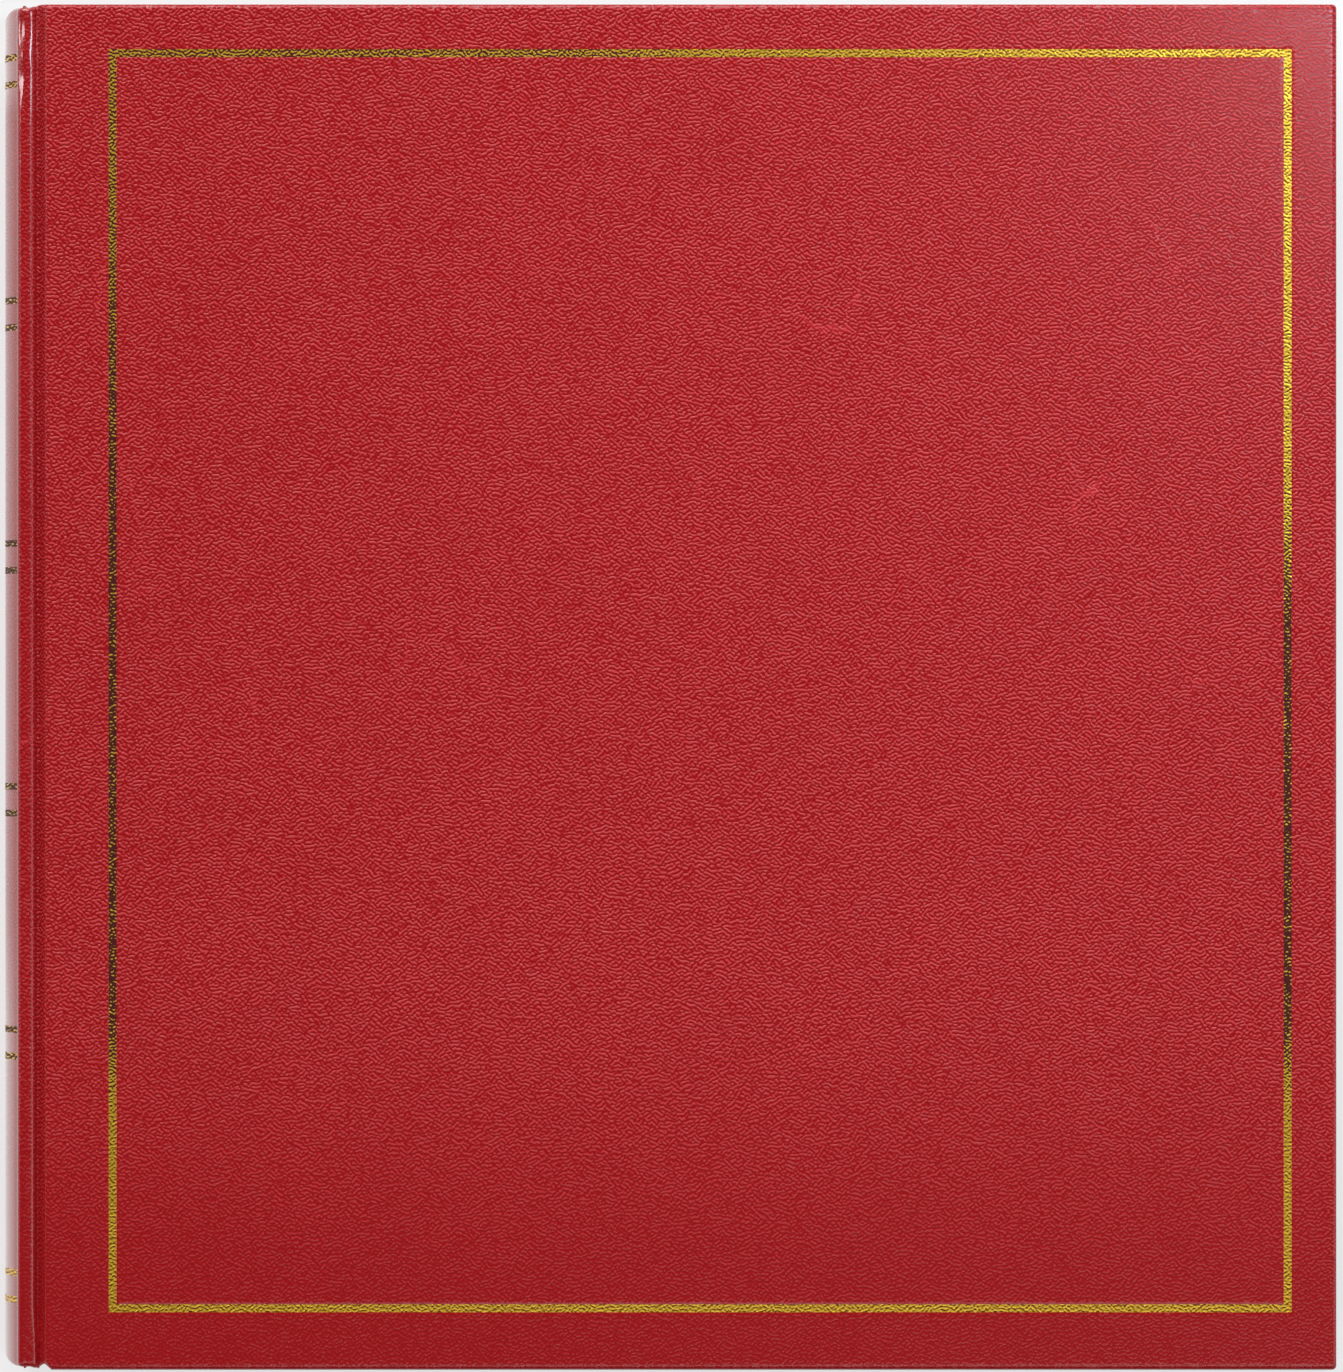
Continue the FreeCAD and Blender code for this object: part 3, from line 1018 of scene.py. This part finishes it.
def makeSpineRules():
    low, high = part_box("spine_gold_rules")
    inset = (rules["spacing"] + rules["width"]) / 2
    piece = growPiece("spine_rules", spineRuleTree(), "gold_foil", {
        "Pairs": rules["pairs"],
        "Pitch": (high.y - low.y - 2 * inset) / (rules["pairs"] - 1),
        "Spacing": rules["spacing"],
        "Width": rules["width"],
        "Thickness": rules["thickness"],
        "Radius": wideRadius + rules["proud"] - rules["thickness"] / 2,
        "Start": math.radians(180 - lean),
        "Sweep": math.radians(2 * lean),
        "First": (spineOut + wideRadius, low.y + inset, middle),
    })
    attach(piece, "spine")
    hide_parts("spine_gold_rules")
    return piece


spineRules = makeSpineRules()
print("spine rules:", len(spineRules.data.polygons), "faces")


# Clear pocket strips on both faces of each leaf

pockets = {
    "rows": 9, "gap": 4.2 * mm, "seam": 2.0 * mm, "film": 0.09 * mm, "standOff": 0.08 * mm,
    "columns": 12, "lines": 10, "weld": 1e-6,     # of each strip's mesh
}


def pocketTree():
    tree, wire, given = startTree("pocket strips", {
        "Int": ["Rows"],
        "Float": ["Pitch", "Width", "Height", "Seam", "Film", "Stand Off", "Card Face"],
        "Vector": ["First"],
    })
    flat = wire.node("GeometryNodeMeshGrid", inputs={
        "Size X": given["Width"], "Size Y": given["Height"],
        "Vertices X": pockets["columns"], "Vertices Y": pockets["lines"],
    })
    place = wire.node("GeometryNodeInputPosition")
    fromFoot = axisOf(wire, place, "Y") + given["Height"] * 0.5
    fromEnd = given["Width"] * 0.5 - wire.maths("ABSOLUTE", axisOf(wire, place, "X"))
    open01 = wire.maths("MINIMUM", fromFoot, fromEnd) / given["Seam"]
    lift = wire.maths("MINIMUM", open01, 1.0) * given["Stand Off"] + given["Card Face"]
    film = wire.node("GeometryNodeSetPosition", inputs={"Geometry": flat, "Offset": vector(wire, z=lift)})
    wall = wire.node("GeometryNodeExtrudeMesh", inputs={
        "Mesh": film, "Offset": vector(wire, z=1.0), "Offset Scale": given["Film"], "Individual": False,
    })
    under = wire.node("GeometryNodeFlipFaces", inputs={"Mesh": film})
    strip = wire.node("GeometryNodeMergeByDistance", inputs={
        "Geometry": joined(wire, wall, under), "Distance": pockets["weld"],
    })
    line = rowOf(wire, given["Rows"], given["First"], given["Pitch"])
    front = copiedTo(wire, line, strip)
    back = copiedTo(wire, line, moved(wire, strip, (0, 0, 0), (0, math.pi, 0)))
    endTree(wire, joined(wire, front, back), "clear_film")
    return tree


def makePockets():
    tree = pocketTree()
    pieces = []
    for node in [n for n in frame["nodes"] if n.startswith("pocket_strips_")]:
        low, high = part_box(node)
        cardLow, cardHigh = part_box(node.replace("pocket_strips", "leaf_card"))
        pitch = (high.y - low.y + pockets["gap"]) / pockets["rows"]
        height = pitch - pockets["gap"]
        piece = growPiece(node.replace("strips", "films"), tree, "clear_film", {
            "Rows": pockets["rows"],
            "Pitch": pitch,
            "Width": high.x - low.x,
            "Height": height,
            "Seam": pockets["seam"],
            "Film": pockets["film"],
            "Stand Off": pockets["standOff"],
            "Card Face": (cardHigh.z - cardLow.z) / 2,
            "First": ((low.x + high.x) / 2, low.y + height / 2, (low.z + high.z) / 2),
        }, smooth=False)
        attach(piece, node.replace("pocket_strips", "leaf"))
        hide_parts(node)
        pieces.append(piece)
    return pieces


films = makePockets()
print("pocket films:", len(films), "leaves,", len(films[0].data.polygons), "faces each")


# Headbands: thread wound on a bead, on a strip of tape

headband = {
    "threadRadius": 0.24 * mm, "pitch": 0.46 * mm, "tape": 0.4 * mm, "tapeWidth": 13.5 * mm,
    "beadRadius": 1.2 * mm, "coreInset": 1.2,     # inset in radii of the thread
    "turnSteps": 14, "threadSides": 6, "coreSides": 16, "tapeGrid": (8, 12),
}


def headbandTree():
    tree, wire, given = startTree("headbands", {
        "Float": ["Length", "Turns", "Bead Radius", "Thread Radius", "Tape", "Tape Width"],
        "Vector": ["Bead Place", "Middle"],
    })
    coilRadius = given["Bead Radius"] - given["Thread Radius"]
    coil = wire.node("GeometryNodeCurveSpiral", inputs={
        "Resolution": headband["turnSteps"], "Rotations": given["Turns"], "Height": given["Length"],
        "Start Radius": coilRadius, "End Radius": coilRadius,
    })
    strand = wire.node("GeometryNodeCurvePrimitiveCircle", inputs={
        "Resolution": headband["threadSides"], "Radius": given["Thread Radius"],
    })
    lowered = moved(wire, swept(wire, coil, strand), vector(wire, z=given["Length"] * -0.5))
    core = wire.node("GeometryNodeMeshCylinder", inputs={
        "Vertices": headband["coreSides"], "Depth": given["Length"],
        "Radius": given["Bead Radius"] - given["Thread Radius"] * headband["coreInset"],
    })
    bead = moved(wire, joined(wire, lowered, core), given["Bead Place"])
    rowsY, rowsZ = headband["tapeGrid"]
    tape = wire.node("GeometryNodeMeshCube", inputs={
        "Size": vector(wire, given["Tape"], given["Tape Width"], given["Length"]),
        "Vertices Y": rowsY, "Vertices Z": rowsZ,
    })
    tapeX = axisOf(wire, given["Bead Place"], "X") - given["Bead Radius"] + given["Tape"] * 0.5
    tapeY = axisOf(wire, given["Bead Place"], "Y") - given["Tape Width"] * 0.5
    head = joined(wire, bead, moved(wire, tape, vector(wire, tapeX, tapeY)))
    tail = moved(wire, head, (0, 0, 0), (math.pi, 0, 0))
    endTree(wire, moved(wire, joined(wire, head, tail), given["Middle"]), "headband_thread")
    return tree


def makeHeadbands():
    low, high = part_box("headbands")
    length = high.z - low.z
    piece = growPiece("wound_headbands", headbandTree(), "headband_thread", {
        "Length": length,
        "Turns": round(length / headband["pitch"]),
        "Bead Radius": headband["beadRadius"],
        "Thread Radius": headband["threadRadius"],
        "Tape": headband["tape"],
        "Tape Width": headband["tapeWidth"],
        "Bead Place": (low.x + headband["beadRadius"], high.y - headband["beadRadius"], 0),
        "Middle": (0, 0, (low.z + high.z) / 2),
    })
    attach(piece, "spine")
    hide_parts("headbands")
    return piece


headbands = makeHeadbands()
print("headbands:", len(headbands.data.polygons), "faces")


# Endpaper across the inside of each joint

innerJoint = {"thickness": 0.1 * mm, "fold": 0.75 * mm, "lap": 1.5 * mm, "gap": 0.03 * mm, "inset": 0.1 * mm}


def makeInnerJoint(name, front):
    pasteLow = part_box("front_pastedown")[0]
    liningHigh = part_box("spine_lining")[1]
    start = Vector((pasteLow.x + innerJoint["lap"], 0, pasteLow.z - innerJoint["gap"]))
    end = Vector((liningHigh.x, 0, liningHigh.z + innerJoint["gap"]))
    fold = end.lerp(start, innerJoint["fold"] / (start.x - end.x))
    half = liningHigh.y
    build = bmesh.new()
    columns = []
    for spot in (start, fold, end):
        z = spot.z if front else top - spot.z
        columns.append([build.verts.new((spot.x, y, z)) for y in (-half, half)])
    for left, right in zip(columns, columns[1:]):
        ring = (left[0], right[0], right[1], left[1])
        build.faces.new(ring if front else tuple(reversed(ring)))
    piece = addPiece(name, meshFrom(name, build), "endpaper")
    thicken(piece, innerJoint["thickness"])
    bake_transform(piece)


makeInnerJoint("front_inner_joint", True)
makeInnerJoint("back_inner_joint", False)
print("inner joints: 2")


# Stage, light and camera

stage = {
    "floor": (0.86, 0.86, 0.86, 1.0), "floorRoughness": 0.8, "size": 8.0, "paleness": 0.6,
    "zenith": 0.03, "horizon": 0.30, "skyFade": (0.05, 0.55), "paleFade": (0.02, 0.25),
}


def seenDirectly(wire):                  # rays that show the background itself
    paths = ("Is Camera Ray", "Is Glossy Ray", "Is Transmission Ray")
    first, second, third = [wire.node("ShaderNodeLightPath", output=name) for name in paths]
    return wire.maths("MINIMUM", first + second + third, 1.0)


def makeFloor():
    material, wire = startMaterial("studio floor")
    paper = wire.node("ShaderNodeBsdfPrincipled", inputs={
        "Base Color": stage["floor"], "Roughness": stage["floorRoughness"],
    })
    pale = wire.node("ShaderNodeEmission", inputs={"Strength": 1.0})
    share = seenDirectly(wire) * stage["paleness"]
    wire.node("ShaderNodeOutputMaterial", inputs={
        "Surface": wire.node("ShaderNodeMixShader", inputs={0: share, 1: paper, 2: pale}),
    })
    mesh = bpy.data.meshes.new("floor")
    half = stage["size"]
    corners = [(-half, -half, 0), (half, -half, 0), (half, half, 0), (-half, half, 0)]
    mesh.from_pydata(corners, [], [(0, 1, 2, 3)])
    mesh.materials.append(material)
    floor = bpy.data.objects.new("floor", mesh)
    scene.collection.objects.link(floor)


def makeWorld():
    world = bpy.data.worlds.new("studio")
    scene.world = world
    world.use_nodes = True
    world.node_tree.nodes.clear()
    wire = Wire(world.node_tree)
    height = axisOf(wire, wire.node("ShaderNodeTexCoord", output=0), "Z")
    levels = (stage["zenith"], stage["horizon"] - stage["zenith"])
    level = varied(levels, 1 - easeWire(wire, *stage["skyFade"], height))
    pale = seenDirectly(wire) * (1 - easeWire(wire, *stage["paleFade"], height))
    level = level + pale * (1 - level)
    surround = wire.node("ShaderNodeBackground", inputs={"Color": (1.0, 1.0, 1.0, 1.0), "Strength": level})
    wire.node("ShaderNodeOutputWorld", inputs={"Surface": surround})


lamps = {
    "key": {"at": (-0.25, 1.35, 0.95), "size": (1.2, 0.5), "power": 24.5},
    "left": {"at": (-1.20, 0.26, 0.62), "size": (0.14, 0.4), "power": 2.2},
    "right": {"at": (1.25, -0.30, 0.75), "size": (0.8, 0.5), "power": 4.5},
    "foot": {"at": (0.05, -0.30, 0.45), "size": (0.60, 0.10), "power": 0.60},
    "low left": {"at": (-0.45, -0.36, 0.20), "size": (0.25, 0.12), "power": 0.35},
    "sheen": {"at": (0.216, 0.198, 0.40), "size": (0.09, 0.12), "power": 0.70, "tint": (0.70, 0.86, 1.0)},
}


def makeLamp(name, lamp):
    light = bpy.data.lights.new(name, "AREA")
    light.shape = "RECTANGLE"
    light.size, light.size_y = lamp["size"]
    light.energy = lamp["power"]
    light.color = lamp.get("tint", (1.0, 1.0, 1.0))
    holder = bpy.data.objects.new(name, light)
    holder.location = lamp["at"]
    aim = Vector((0, 0, top)) - Vector(lamp["at"])
    holder.rotation_euler = aim.to_track_quat("-Z", "Y").to_euler()
    holder.visible_camera = False
    scene.collection.objects.link(holder)


camera = {
    "distance": 2.8,
    "at": (0.55 * mm, 0.25 * mm),
    "frameHeight": 311.4 * mm,           # what the picture's long side spans at the cover
    "sensor": 36.0,
    "clip": (0.1, 50.0),
}


def makeCamera():
    lens = bpy.data.cameras.new("camera")
    lens.sensor_width = camera["sensor"]
    lens.lens = camera["sensor"] * camera["distance"] / camera["frameHeight"]
    lens.clip_start, lens.clip_end = camera["clip"]
    holder = bpy.data.objects.new("camera", lens)
    holder.location = (*camera["at"], top + camera["distance"])
    scene.collection.objects.link(holder)
    scene.camera = holder


makeFloor()
makeWorld()
for name, lamp in lamps.items():
    makeLamp(name, lamp)
makeCamera()
scene.view_settings.view_transform = "Standard"
print("stage ready")
